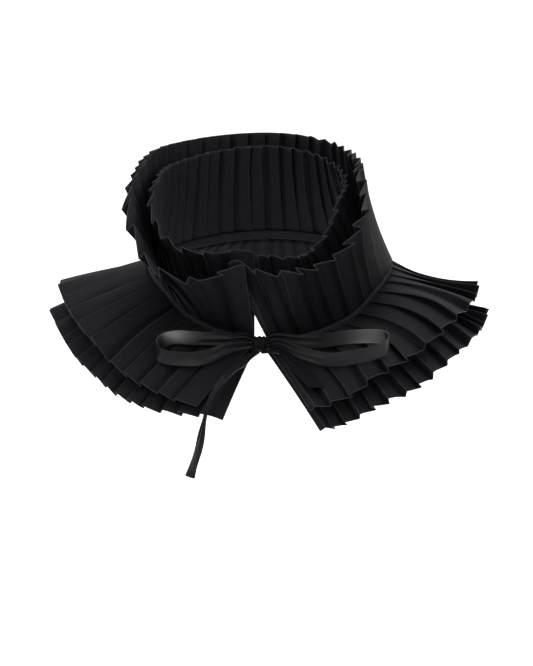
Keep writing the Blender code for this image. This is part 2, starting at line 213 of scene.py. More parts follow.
# Soft creases across the panels: where each starts and ends between seam and hem, how far it drifts
# sideways, and its depth and half-width in millimetres and degrees.
Crease = namedtuple("Crease", "layer angle drift start end depth width")
CREASES = [
    Crease("upper_cape", -158, 4, 0.35, 1.0, 0.7, 1.2),
    Crease("upper_cape", -137, 3, 0.30, 0.95, -0.8, 1.4),
    Crease("upper_cape", -121, -3, 0.50, 1.0, 0.9, 1.1),
    Crease("upper_cape", -108, 2, 0.25, 0.85, -0.7, 1.6),
    Crease("upper_cape", -88, 2, 0.40, 1.0, 0.9, 1.2),
    Crease("upper_cape", -52, -2, 0.30, 1.0, -0.8, 1.5),
    Crease("upper_cape", -18, 2, 0.45, 0.95, 0.8, 1.4),
    Crease("upper_cape", 26, 3, 0.35, 1.0, -0.9, 1.3),
    Crease("upper_cape", 63, -2, 0.30, 0.9, 0.8, 1.5),
    Crease("upper_cape", 96, 2, 0.45, 1.0, -0.8, 1.2),
    Crease("upper_cape", 117, 3, 0.30, 0.9, 0.9, 1.6),
    Crease("upper_cape", 139, -2, 0.50, 1.0, -0.7, 1.1),
    Crease("upper_cape", 161, 3, 0.35, 0.95, 0.8, 1.3),
    Crease("lower_cape", -149, 3, 0.55, 1.0, 0.8, 1.1),
    Crease("lower_cape", -128, -2, 0.60, 1.0, -0.9, 1.3),
    Crease("lower_cape", -101, 2, 0.55, 1.0, 0.8, 1.2),
    Crease("lower_cape", -66, -3, 0.50, 1.0, -0.8, 1.5),
    Crease("lower_cape", -31, 2, 0.60, 1.0, 0.9, 1.2),
    Crease("lower_cape", 14, 2, 0.55, 1.0, -0.8, 1.4),
    Crease("lower_cape", 49, -2, 0.50, 1.0, 0.9, 1.3),
    Crease("lower_cape", 84, 3, 0.60, 1.0, -0.9, 1.1),
    Crease("lower_cape", 111, -2, 0.55, 1.0, 0.8, 1.4),
    Crease("lower_cape", 133, 2, 0.60, 1.0, -0.8, 1.2),
    Crease("lower_cape", 156, 2, 0.55, 1.0, 0.7, 1.3),
    Crease("outer_frill", -150, 4, 0.25, 0.9, 0.7, 1.5),
    Crease("outer_frill", -112, -3, 0.40, 1.0, -0.6, 1.4),
    Crease("outer_frill", -64, 2, 0.30, 0.9, 0.7, 1.7),
    Crease("outer_frill", -12, 3, 0.40, 1.0, -0.6, 1.5),
    Crease("outer_frill", 44, -3, 0.30, 0.9, 0.7, 1.6),
    Crease("outer_frill", 93, 2, 0.25, 0.8, -0.7, 1.8),
    Crease("outer_frill", 127, 4, 0.35, 0.95, 0.8, 1.5),
    Crease("outer_frill", 152, -3, 0.30, 0.9, -0.7, 1.4),
    Crease("inner_frill", -134, 3, 0.40, 1.0, 0.5, 1.4),
    Crease("inner_frill", -81, -2, 0.35, 0.9, -0.5, 1.6),
    Crease("inner_frill", -27, 3, 0.40, 1.0, 0.5, 1.5),
    Crease("inner_frill", 33, -2, 0.35, 0.95, -0.5, 1.7),
    Crease("inner_frill", 78, 2, 0.40, 1.0, 0.5, 1.4),
    Crease("inner_frill", 131, -3, 0.35, 0.9, -0.5, 1.5),
]


def smooth(rows, column, at):
    """A column's values at angles, on a smooth curve through the table's rows."""
    angles = np.array([row.angle for row in rows], dtype=float)
    values = np.array([getattr(row, column) for row in rows], dtype=float)
    rise = np.diff(values) / np.diff(angles)
    both = rise[:-1] * rise[1:]
    total = np.where(both > 0, rise[:-1] + rise[1:], 1.0)
    slopes = np.zeros(len(rows))
    slopes[1:-1] = np.where(both > 0, 2 * both / total, 0.0)
    at = np.clip(at, angles[0], angles[-1])
    before = np.clip(np.searchsorted(angles, at) - 1, 0, len(rows) - 2)
    span = angles[before + 1] - angles[before]
    t = (at - angles[before]) / span
    ease = t * t * (3 - 2 * t)
    start_pull = t * (1 - t) ** 2 * span * slopes[before]
    end_pull = t * t * (t - 1) * span * slopes[before + 1]
    return values[before] + (values[before + 1] - values[before]) * ease + start_pull + end_pull


def unit(vectors):
    return vectors / np.linalg.norm(vectors, axis=-1, keepdims=True)


def stack(x, y, z):
    return np.stack(np.broadcast_arrays(x, y, z), axis=-1).astype(float)


def neck_frame(angle):
    """The neck seam's points at angles, with the directions straight out of the oval and along it."""
    turn = np.radians(angle)
    height = smooth(SEAM, "height", np.abs(angle))
    point = stack(NECK_HALF_WIDTH * np.sin(turn), NECK_HALF_DEPTH * np.cos(turn), height)
    outward = unit(stack(np.sin(turn) / NECK_HALF_WIDTH, np.cos(turn) / NECK_HALF_DEPTH, 0.0))
    onward = stack(outward[..., 1], -outward[..., 0], 0.0)
    return point, outward, onward


def layer_point(layer, angle, reach):
    """Points of a layer's smooth middle surface: reach runs from 0 at the seam to 1 at the hem."""
    angle, reach = np.broadcast_arrays(np.asarray(angle, float), np.asarray(reach, float))
    point, outward, onward = neck_frame(angle)
    upward = np.array([0.0, 0.0, 1.0])
    lean = np.radians(smooth(layer.sections, "lean", angle))[..., None]
    slant = np.radians(smooth(layer.sections, "slant", angle))[..., None]
    arch = smooth(layer.sections, "arch", angle)[..., None]
    length = smooth(layer.sections, "length", angle)[..., None]
    reach = reach[..., None]
    plain = np.sin(lean) * outward + np.cos(lean) * upward
    along = np.cos(slant) * plain + np.sin(slant) * onward
    across = np.sin(lean) * upward - np.cos(lean) * outward
    start = point + layer.out * outward + layer.up * upward
    return start + length * reach * along + arch * 4 * reach * (1 - reach) * across


def layer_normal(layer, angle, reach):
    """The direction into the folds: out of a cape's upper face and a frill's inner face."""
    turn, step, settled = 0.5, 0.02, 6.0
    angle, reach = np.broadcast_arrays(np.asarray(angle, float), np.asarray(reach, float))
    onward = layer_point(layer, angle + turn, reach) - layer_point(layer, angle - turn, reach)
    along = layer_point(layer, angle, reach + step) - layer_point(layer, angle, reach - step)
    normal = unit(np.cross(onward, along))
    _, outward, _ = neck_frame(angle)
    plain = -outward if layer.stands else np.broadcast_to([0.0, 0.0, 1.0], outward.shape)
    share = np.clip(reach * settled, 0, 1)[..., None]
    return unit(plain * (1 - share) + normal * share)


def pleat_corners(layer, reach):
    """Angles and heights of the folds in every row, two folds to a pleat."""
    pitch = (RIGHT_END - LEFT_END) / layer.pleats
    number = np.arange(layer.pleats + 1)
    shift = WIDTH_VARIATION * np.sin(WIDTH_RHYTHM * number + layer.phase)
    shift[[0, -1]] = 0.0
    low = LEFT_END + (number + shift) * pitch
    deepest = smooth(layer.sections, "depth", low[:-1] + pitch / 2)
    depth = SEAM_DEPTH + (deepest - SEAM_DEPTH) * reach**OPENING
    depth = depth * (1 + DEPTH_VARIATION * np.sin(DEPTH_RHYTHM * number[:-1] + 2 * layer.phase) * reach)
    panel = TOP_PANEL_AT_HEM + TOP_PANEL_PER_DEPTH * depth
    panel = TOP_PANEL_AT_SEAM + (panel - TOP_PANEL_AT_SEAM) * np.minimum(1, reach / TOP_PANEL_SETTLED)
    panel[:, -1] = END_PANEL
    angles = np.zeros((len(reach), 2 * layer.pleats + 1))
    heights = np.zeros_like(angles)
    angles[:, 0::2] = low
    angles[:, 1::2] = low[:-1] + panel * pitch
    heights[:, 1::2] = depth
    return angles, heights


def rounded_profile(layer, reach):
    """Angles, heights, the distance along the cloth and the fold at every column of each row.

    The fold is 1 on a pressed fold, with a painted highlight, and falls to -1 where the fold before it
    shades the panel, painted as shade.
    """
    angles, heights = pleat_corners(layer, reach)
    wide = layer_point(layer, angles + 0.5, reach) - layer_point(layer, angles - 0.5, reach)
    scale = np.linalg.norm(wide, axis=-1)
    steps = np.diff(angles, axis=1) * (scale[:, 1:] + scale[:, :-1]) / 2
    rises = np.diff(heights, axis=1)
    lengths = np.hypot(steps, rises)
    starts = np.concatenate([np.zeros((len(reach), 1)), np.cumsum(lengths, axis=1)], axis=1)
    crest = CREST_RADIUS_SEAM + (CREST_RADIUS_HEM - CREST_RADIUS_SEAM) * reach[:, 0]
    columns = []

    def add(angle, height, along, fold):
        columns.append((angle, height, along, np.full(len(reach), fold)))

    add(angles[:, 0], heights[:, 0], starts[:, 0], 0.0)
    last = angles.shape[1] - 1
    for j in range(last):
        top = j % 2 == 0
        near = 0.0 if j == 0 else (VALLEY_RADIUS if top else crest)
        far = 0.0 if j == last - 1 else (crest if top else VALLEY_RADIUS)
        near = np.minimum(near, CORNER_SHARE * lengths[:, j]) / lengths[:, j]
        far = np.minimum(far, CORNER_SHARE * lengths[:, j]) / lengths[:, j]
        inner = TOP_STEPS if top else UNDERLAY_STEPS
        bow = PANEL_BOW * reach[:, 0] if top else 0.0
        for step in range(inner + 1):
            share = step / inner
            t = near + (1 - far - near) * share
            if step == 0 and j == 0:
                continue
            angle = angles[:, j] + (angles[:, j + 1] - angles[:, j]) * t
            height = heights[:, j] + rises[:, j] * t + bow * 4 * share * (1 - share)
            # Painted shade: the start of each top panel, under the fold before it, is marked towards -1.
            shade = min(1.0, max(0.0, (SHADE_END - share) / SHADE_WIDTH)) if top and j > 0 else 0.0
            add(angle, height, starts[:, j] + lengths[:, j] * t, -shade)
        if j == last - 1:
            continue
        radius = crest if top else VALLEY_RADIUS
        following = np.minimum(radius, CORNER_SHARE * lengths[:, j + 1])
        onward = following / lengths[:, j + 1]
        enter_angle = angles[:, j + 1] - (angles[:, j + 1] - angles[:, j]) * far
        enter_height = heights[:, j + 1] - rises[:, j] * far
        leave_angle = angles[:, j + 1] + (angles[:, j + 2] - angles[:, j + 1]) * onward
        leave_height = heights[:, j + 1] + rises[:, j + 1] * onward
        for step in range(1, CORNER_STEPS + 1):
            t = step / (CORNER_STEPS + 1)
            one, two, three = (1 - t) ** 2, 2 * t * (1 - t), t * t
            angle = one * enter_angle + two * angles[:, j + 1] + three * leave_angle
            height = one * enter_height + two * heights[:, j + 1] + three * leave_height
            along = starts[:, j + 1] + (t - 0.5) * (far * lengths[:, j] + following)
            # A crest is marked 1, where the chiffon paints its pale highlight.
            add(angle, height, along, 1.0 if top else 0.0)
    return [np.stack(values, axis=1) for values in zip(*columns)]


def crease_heights(layer, angle, reach):
    """The soft creases of one layer, as heights over its panels."""
    height = np.zeros_like(angle)
    for crease in CREASES:
        if crease.layer != layer.name:
            continue
        middle = crease.angle + crease.drift * (reach - crease.start)
        across = np.exp(-(((angle - middle) / crease.width) ** 2))
        t = np.clip((reach - crease.start) / (crease.end - crease.start), 0, 1)
        fade = np.sin(math.pi * t) if crease.end < 1 else np.sin(math.pi / 2 * t)
        height += crease.depth * across * fade
    return height


def pleated_surface(layer):
    """Middle points of a layer's cloth, the distances along it and its folds."""
    reach = np.linspace(0, 1, CLOTH_ROWS + 1)[:, None]
    angle, height, along, fold = rounded_profile(layer, reach)
    reach[0] = -SEAM_TUCK
    pitch = (RIGHT_END - LEFT_END) / layer.pleats
    sway = SWAY * pitch * np.sin(SWAY_RHYTHM * angle / pitch + SWAY_PHASE * layer.phase)
    sway = sway * np.sin(math.pi * reach)
    angle = angle + sway * np.clip(np.minimum(angle - LEFT_END, RIGHT_END - angle) / pitch, 0, 1)
    # Painted highlight: how strongly the pressed folds are painted pale, least on the left, most on the
    # right front.
    fold_highlight = HIGHLIGHT_LEAST + (1 - HIGHLIGHT_LEAST) * np.clip((angle - HIGHLIGHT_FROM) / HIGHLIGHT_OVER, 0, 1)
    fold = np.where(fold > 0, fold * fold_highlight, fold)
    height = height + crease_heights(layer, angle, reach)
    height = height + RIPPLE * reach**RIPPLE_RISE * np.sin(RIPPLE_RHYTHM * angle / pitch + layer.phase)
    raised = height[..., None] * layer_normal(layer, angle, reach)
    return layer_point(layer, angle, reach) + raised, along, fold


def grid_normals(points):
    onward = np.gradient(points, axis=1)
    along = np.gradient(points, axis=0)
    return unit(np.cross(onward, along))


def make_mesh(name, points, faces, material):
    mesh = bpy.data.meshes.new(name)
    mesh.from_pydata((np.asarray(points) * MM).tolist(), [], faces)
    mesh.polygons.foreach_set("use_smooth", [True] * len(mesh.polygons))
    mesh.materials.append(material)
    mesh.update()
    piece = bpy.data.objects.new(name, mesh)
    bpy.context.scene.collection.objects.link(piece)
    return piece


def grid_faces(rows, columns, first, flipped):
    faces = []
    for r in range(rows - 1):
        for c in range(columns - 1):
            a = first + r * columns + c
            corners = (a, a + 1, a + columns + 1, a + columns)
            faces.append(corners[::-1] if flipped else corners)
    return faces


def shell_mesh(name, middle, thickness, material, uv, fold):
    """A closed thin shell round a grid of middle points. Its UV is the cloth, in millimetres."""
    rows, columns = middle.shape[:2]
    offset = grid_normals(middle) * thickness / 2
    count = rows * columns
    points = np.concatenate([(middle + offset).reshape(-1, 3), (middle - offset).reshape(-1, 3)])
    faces = grid_faces(rows, columns, 0, False) + grid_faces(rows, columns, count, True)
    rim = list(range(columns))
    rim += [r * columns + columns - 1 for r in range(1, rows)]
    rim += [(rows - 1) * columns + c for c in range(columns - 2, -1, -1)]
    rim += [r * columns for r in range(rows - 2, 0, -1)]
    for a, b in zip(rim, rim[1:] + rim[:1]):
        faces.append((b, a, a + count, b + count))
    piece = make_mesh(name, points, faces, material)
    values = np.concatenate([uv.reshape(-1, 2)] * 2)
    loops = np.zeros(len(piece.data.loops), dtype=int)
    piece.data.loops.foreach_get("vertex_index", loops)
    layer = piece.data.uv_layers.new(name="cloth")
    layer.uv.foreach_set("vector", values[loops].ravel())
    attribute = piece.data.attributes.new("fold", "FLOAT", "POINT")
    attribute.data.foreach_set("value", np.concatenate([fold.ravel()] * 2))
    return piece


def tube_mesh(name, path, across, radius, sides, material):
    """A round bead along a path, with across a direction that isn't along it at each point."""
    onward = unit(np.gradient(path, axis=0))
    first = unit(np.cross(onward, across))
    second = np.cross(onward, first)
    turns = np.arange(sides) * 2 * math.pi / sides
    rings = path[:, None] + radius * (
        np.cos(turns)[None, :, None] * first[:, None] + np.sin(turns)[None, :, None] * second[:, None]
    )
    faces = []
    for k in range(len(path) - 1):
        for s in range(sides):
            t = (s + 1) % sides
            faces.append((k * sides + s, k * sides + t, (k + 1) * sides + t, (k + 1) * sides + s))
    faces.append(tuple(range(sides))[::-1])
    faces.append(tuple((len(path) - 1) * sides + s for s in range(sides)))
    return make_mesh(name, rings.reshape(-1, 3), faces, material)


def new_material(name, colour, roughness):
    material = bpy.data.materials.new(name)
    material.use_nodes = True
    nodes = material.node_tree.nodes
    shader = nodes["Principled BSDF"]
    shader.inputs["Base Color"].default_value = (*colour, 1)
    shader.inputs["Roughness"].default_value = roughness
    return material, nodes, material.node_tree.links, shader


def add_node(nodes, kind, **values):
    node = nodes.new(kind)
    for key, value in values.items():
        if hasattr(node, key):
            setattr(node, key, value)
        else:
            node.inputs[key.replace("_", " ").title()].default_value = value
    return node


def math_node(nodes, links, operation, first, second):
    node = nodes.new("ShaderNodeMath")
    node.operation = operation
    for socket, value in zip(node.inputs, (first, second)):
        if isinstance(value, (int, float)):
            socket.default_value = value
        else:
            links.new(value, socket)
    return node.outputs[0]


def weave_height(nodes, links, across, along, pitch_across, pitch_along):
    """The height of a plain weave: threads over and under each other, from UV in millimetres."""
    first = math_node(nodes, links, "MULTIPLY", across, math.pi / pitch_across)
    second = math_node(nodes, links, "MULTIPLY", along, math.pi / pitch_along)
    over = math_node(nodes, links, "SINE", first, 0.0)
    under = math_node(nodes, links, "SINE", second, 0.0)
    return math_node(nodes, links, "MULTIPLY", over, under)


def cloth_coordinates(nodes, links):
    uv = nodes.new("ShaderNodeUVMap")
    uv.uv_map = "cloth"
    parts = nodes.new("ShaderNodeSeparateXYZ")
    links.new(uv.outputs["UV"], parts.inputs["Vector"])
    return uv.outputs["UV"], parts.outputs["X"], parts.outputs["Y"]


def chiffon_material():
    """Sheer crisp chiffon: near black, matt, with a faint sheen, a painted highlight on pressed folds
    and painted shade where the fold before shades a panel.
    """
    material, nodes, links, shader = new_material("pleated_chiffon", (0.0045, 0.0043, 0.0058), 0.62)
    shader.inputs["Sheen Weight"].default_value = 0.012
    shader.inputs["Sheen Roughness"].default_value = 0.4
    shader.inputs["Sheen Tint"].default_value = (0.75, 0.75, 0.85, 1)
    shader.inputs["Specular IOR Level"].default_value = 0.06
    shader.inputs["Alpha"].default_value = 0.975
    uv, across, along = cloth_coordinates(nodes, links)
    slubs = add_node(nodes, "ShaderNodeTexNoise", scale=0.35, detail=5.0, roughness=0.6)
    links.new(uv, slubs.inputs["Vector"])
    fold = nodes.new("ShaderNodeAttribute")
    fold.attribute_name = "fold"
    tone = nodes.new("ShaderNodeValToRGB")
    tone.color_ramp.elements[0].position = 0.3
    tone.color_ramp.elements[0].color = (0.0032, 0.0030, 0.0044, 1)
    tone.color_ramp.elements[1].position = 0.72
    tone.color_ramp.elements[1].color = (0.0060, 0.0057, 0.0078, 1)
    links.new(slubs.outputs["Fac"], tone.inputs["Fac"])
    # Painted highlight: a paler colour mixed in on the pressed folds.
    fold_highlight = nodes.new("ShaderNodeMix")
    fold_highlight.data_type = "RGBA"
    fold_highlight.inputs["B"].default_value = (0.017, 0.0165, 0.0215, 1)
    links.new(math_node(nodes, links, "MULTIPLY", fold.outputs["Fac"], 0.7), fold_highlight.inputs["Factor"])
    links.new(tone.outputs["Color"], fold_highlight.inputs["A"])
    # Painted shade: a near-black colour mixed in where the fold before it shades a panel.
    shaded = nodes.new("ShaderNodeMix")
    shaded.data_type = "RGBA"
    shaded.inputs["B"].default_value = (0.0008, 0.0008, 0.0012, 1)
    links.new(math_node(nodes, links, "MULTIPLY", fold.outputs["Fac"], -0.9), shaded.inputs["Factor"])
    links.new(fold_highlight.outputs["Result"], shaded.inputs["A"])
    links.new(shaded.outputs["Result"], shader.inputs["Base Color"])
    rough = nodes.new("ShaderNodeMapRange")
    rough.inputs["To Min"].default_value = 0.52
    rough.inputs["To Max"].default_value = 0.74
    links.new(slubs.outputs["Fac"], rough.inputs["Value"])
    links.new(rough.outputs["Result"], shader.inputs["Roughness"])
    threads = weave_height(nodes, links, across, along, 0.32, 0.3)
    wrinkle = add_node(nodes, "ShaderNodeTexNoise", scale=0.12, detail=3.0)
    links.new(uv, wrinkle.inputs["Vector"])
    fine = nodes.new("ShaderNodeBump")
    fine.inputs["Strength"].default_value = 0.12
    fine.inputs["Distance"].default_value = 0.00005
    links.new(threads, fine.inputs["Height"])
    soft = nodes.new("ShaderNodeBump")
    soft.inputs["Strength"].default_value = 0.5
    soft.inputs["Distance"].default_value = 0.0006
    links.new(wrinkle.outputs["Fac"], soft.inputs["Height"])
    links.new(soft.outputs["Normal"], fine.inputs["Normal"])
    links.new(fine.outputs["Normal"], shader.inputs["Normal"])
    return material


def hem_material():
    """The rolled hem: close polyester stitches, a little glossier and paler than the cloth."""
    material, nodes, links, shader = new_material("rolled_hem", (0.010, 0.0096, 0.0125), 0.5)
    shader.inputs["Specular IOR Level"].default_value = 0.1
    place = nodes.new("ShaderNodeTexCoord")
    stitches = add_node(nodes, "ShaderNodeTexNoise", scale=1400.0, detail=2.0)
    links.new(place.outputs["Object"], stitches.inputs["Vector"])
    bump = nodes.new("ShaderNodeBump")
    bump.inputs["Strength"].default_value = 0.6
    bump.inputs["Distance"].default_value = 0.0002
    links.new(stitches.outputs["Fac"], bump.inputs["Height"])
    links.new(bump.outputs["Normal"], shader.inputs["Normal"])
    tone = nodes.new("ShaderNodeValToRGB")
    tone.color_ramp.elements[0].color = (0.006, 0.0057, 0.0076, 1)
    tone.color_ramp.elements[1].color = (0.016, 0.0155, 0.020, 1)
    links.new(stitches.outputs["Fac"], tone.inputs["Fac"])
    links.new(tone.outputs["Color"], shader.inputs["Base Color"])
    return material


def satin_material(name, depth, gloss):
    """Satin ribbon: black, soft gloss along its length and fine slanting ribs."""
    material, nodes, links, shader = new_material(name, (depth, depth, 1.2 * depth), 0.3)
    shine = nodes.new("ShaderNodeAttribute")
    shine.attribute_name = "fold"
    glossier = math_node(nodes, links, "ADD", shine.outputs["Fac"], gloss)
    links.new(glossier, shader.inputs["Specular IOR Level"])
    shader.inputs["Sheen Weight"].default_value = gloss / 10
    shader.inputs["Sheen Roughness"].default_value = 0.3
    shader.inputs["Anisotropic"].default_value = 0.45
    uv, across, along = cloth_coordinates(nodes, links)
    slanted = math_node(nodes, links, "ADD", math_node(nodes, links, "MULTIPLY", across, 0.55), along)
    ribs = math_node(nodes, links, "MULTIPLY", slanted, 2 * math.pi / 0.85)
    rib = math_node(nodes, links, "SINE", ribs, 0.0)
    noise = add_node(nodes, "ShaderNodeTexNoise", scale=0.8, detail=4.0)
    links.new(uv, noise.inputs["Vector"])
    uneven = math_node(nodes, links, "MULTIPLY", noise.outputs["Fac"], 1.2)
    height = math_node(nodes, links, "ADD", rib, uneven)
    bump = nodes.new("ShaderNodeBump")
    bump.inputs["Strength"].default_value = 0.5
    bump.inputs["Distance"].default_value = 0.00012
    links.new(height, bump.inputs["Height"])
    links.new(bump.outputs["Normal"], shader.inputs["Normal"])
    tone = nodes.new("ShaderNodeValToRGB")
    tone.color_ramp.elements[0].color = (0.7 * depth, 0.7 * depth, 0.86 * depth, 1)
    tone.color_ramp.elements[1].color = (1.4 * depth, 1.4 * depth, 1.65 * depth, 1)
    half = math_node(nodes, links, "ADD", math_node(nodes, links, "MULTIPLY", rib, 0.35), 0.5)
    links.new(half, tone.inputs["Fac"])
    links.new(tone.outputs["Color"], shader.inputs["Base Color"])
    return material


def casing_material():
    """The casing's doubled chiffon, gathered tight."""
    material, nodes, links, shader = new_material("gathered_casing", (0.005, 0.0048, 0.0064), 0.66)
    shader.inputs["Sheen Weight"].default_value = 0.02
    shader.inputs["Specular IOR Level"].default_value = 0.08
    place = nodes.new("ShaderNodeTexCoord")
    noise = add_node(nodes, "ShaderNodeTexNoise", scale=420.0, detail=5.0, roughness=0.65)
    links.new(place.outputs["Object"], noise.inputs["Vector"])
    tone = nodes.new("ShaderNodeValToRGB")
    tone.color_ramp.elements[0].position = 0.3
    tone.color_ramp.elements[0].color = (0.0032, 0.0030, 0.0044, 1)
    tone.color_ramp.elements[1].position = 0.7
    tone.color_ramp.elements[1].color = (0.0075, 0.0072, 0.0096, 1)
    links.new(noise.outputs["Fac"], tone.inputs["Fac"])
    links.new(tone.outputs["Color"], shader.inputs["Base Color"])
    bump = nodes.new("ShaderNodeBump")
    bump.inputs["Strength"].default_value = 0.5
    bump.inputs["Distance"].default_value = 0.0003
    links.new(noise.outputs["Fac"], bump.inputs["Height"])
    links.new(bump.outputs["Normal"], shader.inputs["Normal"])
    return material


def thread_material():
    """Polyester sewing thread, black with a slight gloss."""
    material, nodes, links, shader = new_material("sewing_thread", (0.010, 0.010, 0.012), 0.4)
    shader.inputs["Specular IOR Level"].default_value = 0.2
    place = nodes.new("ShaderNodeTexCoord")
    twist = add_node(nodes, "ShaderNodeTexWave", scale=900.0, distortion=2.0)
    links.new(place.outputs["Object"], twist.inputs["Vector"])
    bump = nodes.new("ShaderNodeBump")
    bump.inputs["Strength"].default_value = 0.4
    bump.inputs["Distance"].default_value = 0.0001
    links.new(twist.outputs["Fac"], bump.inputs["Height"])
    links.new(bump.outputs["Normal"], shader.inputs["Normal"])
    return material


def place_piece(piece, nodes=()):
    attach(piece, "root")
    if nodes:
        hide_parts(*nodes)


def build_layers(chiffon, hem):
    for layer in LAYERS:
        middle, along, fold = pleated_surface(layer)
        steps = np.linalg.norm(np.diff(middle, axis=0), axis=-1).mean(axis=1)
        down = np.concatenate([[0.0], np.cumsum(steps)])
        uv = np.stack([along, np.broadcast_to(down[:, None], along.shape)], axis=-1)
        cloth = shell_mesh(layer.name, middle, CHIFFON_THICKNESS, chiffon, uv, fold)
        place_piece(cloth, [layer.node])
        normals = grid_normals(middle)
        path = np.concatenate([middle[:-1, 0], middle[-1], middle[-2::-1, -1]])
        across = np.concatenate([normals[:-1, 0], normals[-1], normals[-2::-1, -1]])
        bead = tube_mesh(layer.name + "_hem", path, across, HEM_RADIUS, HEM_SIDES, hem)
        place_piece(bead)


# Casing: a doubled band, gathered on the ribbon that runs through it.
GATHER_PITCH = 3.0
GATHER_HEIGHT = 0.55
GATHER_LEVEL = 0.65
CASING_STEP = 0.6
# The gathers wander along the band and swell and fade, and each line of the section is a little out of
# step with the next.
Wave = namedtuple("Wave", "size rhythm phase")
GATHER_WANDER = [Wave(0.35, 0.23, 0.0), Wave(0.2, 0.61, 0.0)]
GATHER_SWELL = Wave(0.25, 0.37, 0.5)
GATHER_SLIDE = Wave(0.8, 1.1, 0.0)
Corner = namedtuple("Corner", "out up gather")
CASING_SECTION = [
    Corner(-0.46, 0.06, 0.3),
    Corner(-0.1, 0.02, 0.4),
    Corner(0.26, 0.03, 0.5),
    Corner(0.40, 0.10, 0.7),
    Corner(0.43, 0.22, 0.45),
    Corner(0.47, 0.36, 1.0),
    Corner(0.49, 0.50, 1.1),
    Corner(0.47, 0.64, 1.0),
    Corner(0.43, 0.78, 0.45),
    Corner(0.40, 0.90, 0.7),
    Corner(0.26, 0.97, 0.5),
    Corner(-0.1, 0.98, 0.4),
    Corner(-0.46, 0.94, 0.3),
    Corner(-0.49, 0.72, 0.6),
    Corner(-0.49, 0.5, 0.7),
    Corner(-0.49, 0.28, 0.6),
]


def wave_at(wave, place):
    return wave.size * np.sin(wave.rhythm * place + wave.phase)


def casing_rings():
    """The casing's gathered section at each step round the neck."""
    round_length = math.radians(RIGHT_END - LEFT_END) * (NECK_HALF_WIDTH + NECK_HALF_DEPTH) / 2
    count = int(round_length / CASING_STEP)
    angle = np.linspace(LEFT_END, RIGHT_END, count)
    place = np.linspace(0, round_length, count)
    point, outward, _ = neck_frame(angle)
    rings = np.zeros((count, len(CASING_SECTION), 3))
    for k, corner in enumerate(CASING_SECTION):
        beat = (place + wave_at(GATHER_SLIDE, k)) / GATHER_PITCH
        beat = beat + sum(wave_at(wave, place) for wave in GATHER_WANDER)
        size = 1 - GATHER_SWELL.size + wave_at(GATHER_SWELL, place)
        ridge = (np.abs(np.sin(math.pi * beat)) - GATHER_LEVEL) * GATHER_HEIGHT * corner.gather * size
        out = corner.out * CASING_THICKNESS
        up = corner.up * CASING_HEIGHT
        length = math.hypot(corner.out * CASING_THICKNESS, (corner.up - 0.5) * CASING_HEIGHT)
        grow_out = ridge * corner.out * CASING_THICKNESS / length
        grow_up = ridge * (corner.up - 0.5) * CASING_HEIGHT / length
        rings[:, k] = point + (out + grow_out)[:, None] * outward
        rings[:, k, 2] += up + grow_up
    return rings


def build_casing(material, thread):
    rings = casing_rings()
    count, sides = rings.shape[:2]
    faces = []
    for k in range(count - 1):
        for s in range(sides):
            t = (s + 1) % sides
            faces.append((k * sides + s, k * sides + t, (k + 1) * sides + t, (k + 1) * sides + s))
    faces.append(tuple(range(sides))[::-1])
    faces.append(tuple((count - 1) * sides + s for s in range(sides)))
    casing = make_mesh("casing_gathers", rings.reshape(-1, 3), faces, material)
    place_piece(casing, ["neck_casing"])
    stitches = build_stitches(rings, thread)
    place_piece(stitches)


# Two rows of gathering stitches, in the casing's shallow grooves.
STITCH_LENGTH = 2.2
STITCH_GAP = 0.8
STITCH_RADIUS = 0.2
STITCH_SIDES = 6
STITCH_CROWN = 0.18
STITCH_STAND_OFF = 0.05
STITCH_TAPER = 0.5
STITCH_ROWS = (4, 8)


def build_stitches(rings, thread):
    points, faces = [], []
    per_stitch = int(STITCH_LENGTH / CASING_STEP)
    per_pitch = int((STITCH_LENGTH + STITCH_GAP) / CASING_STEP)
    for side in STITCH_ROWS:
        line = rings[:, side]
        out = unit(rings[:, side] - rings.mean(axis=1))
        for start in range(2, len(line) - per_pitch, per_pitch):
            span = slice(start, start + per_stitch + 1)
            count = per_stitch + 1
            lift = STITCH_CROWN * np.sin(np.linspace(0, math.pi, count))[:, None]
            path = line[span] + out[span] * (lift + STITCH_STAND_OFF)
            tangent = unit(np.gradient(path, axis=0))
            first = unit(np.cross(tangent, out[span]))
            second = np.cross(tangent, first)
            base = len(points)
            sides = STITCH_SIDES
            for k in range(count):
                radius = STITCH_RADIUS * (STITCH_TAPER if k in (0, count - 1) else 1.0)
                for s in range(sides):
                    turn = 2 * math.pi * s / sides
                    spoke = math.cos(turn) * first[k] + math.sin(turn) * second[k]
                    points.append(path[k] + radius * spoke)
            for k in range(count - 1):
                for s in range(sides):
                    t = (s + 1) % sides
                    a = base + k * sides
                    faces.append((a + s, a + t, a + sides + t, a + sides + s))
            faces.append(tuple(base + s for s in range(sides))[::-1])
            faces.append(tuple(base + (count - 1) * sides + s for s in range(sides)))
    return make_mesh("casing_stitches", points, faces, thread)


# Ribbon: the routes of its middle line, as in the part.
RIBBON_WIDTH = 8.5
RIBBON_THICKNESS = 0.4
RIBBON_COLUMNS = 24
RIBBON_FOLDS = 4
RIBBON_BOW = 0.45
LEAST_SHARE = 0.25
